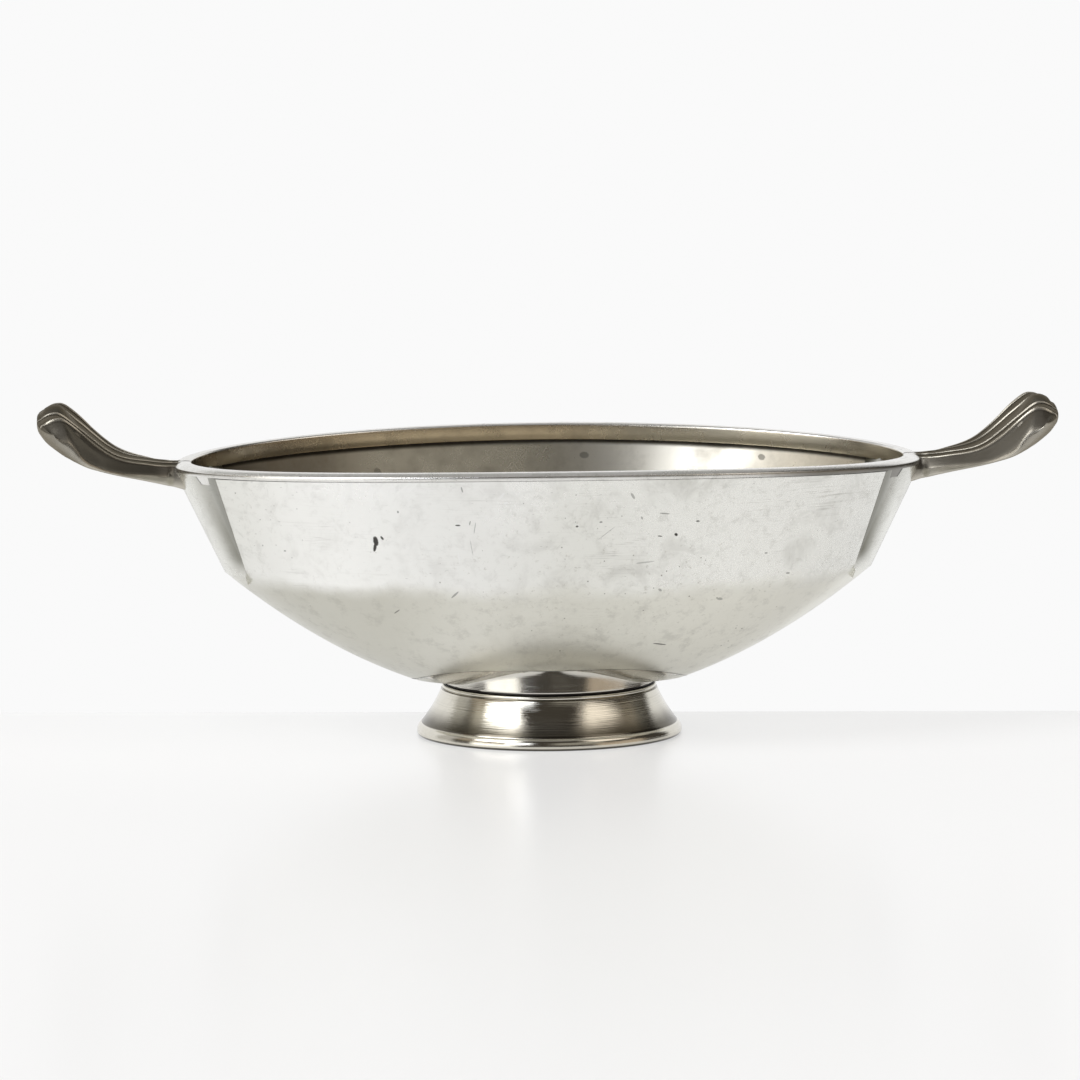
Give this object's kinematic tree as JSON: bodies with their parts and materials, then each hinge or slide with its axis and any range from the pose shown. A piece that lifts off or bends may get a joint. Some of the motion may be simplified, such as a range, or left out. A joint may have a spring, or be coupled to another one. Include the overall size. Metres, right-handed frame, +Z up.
{
  "type": "handled bowl",
  "caption": "Oval footed bowl in worn pewter with leaning walls, lobed end panels, a broad rim band and a fanned, ribbed handle at each end.",
  "frame": {"origin": "centre of the foot's underside, on the surface that the bowl stands on", "axes": "+Z up, +X along the bowl's length towards the right handle, +Y across it, away from the side that the picture shows"},
  "size_m": [0.38, 0.1592, 0.1253],
  "materials": {
    "body": "worn satin pewter, finely scratched",
    "panels": "worn satin pewter, darker at the edges",
    "rim": "worn satin pewter, rubbed bright on top",
    "handles": "cast pewter, dark patina with bright edges",
    "collar": "turned pewter, semi-gloss",
    "foot": "turned pewter, semi-gloss with turning lines"
  },
  "bodies": {
    "root": {"body_shell": "body", "left_end_panel": "panels", "right_end_panel": "panels", "rim_band": "rim", "left_handle": "handles", "right_handle": "handles", "neck_collar": "collar", "foot_ring": "foot"}
  },
  "joints": []
}
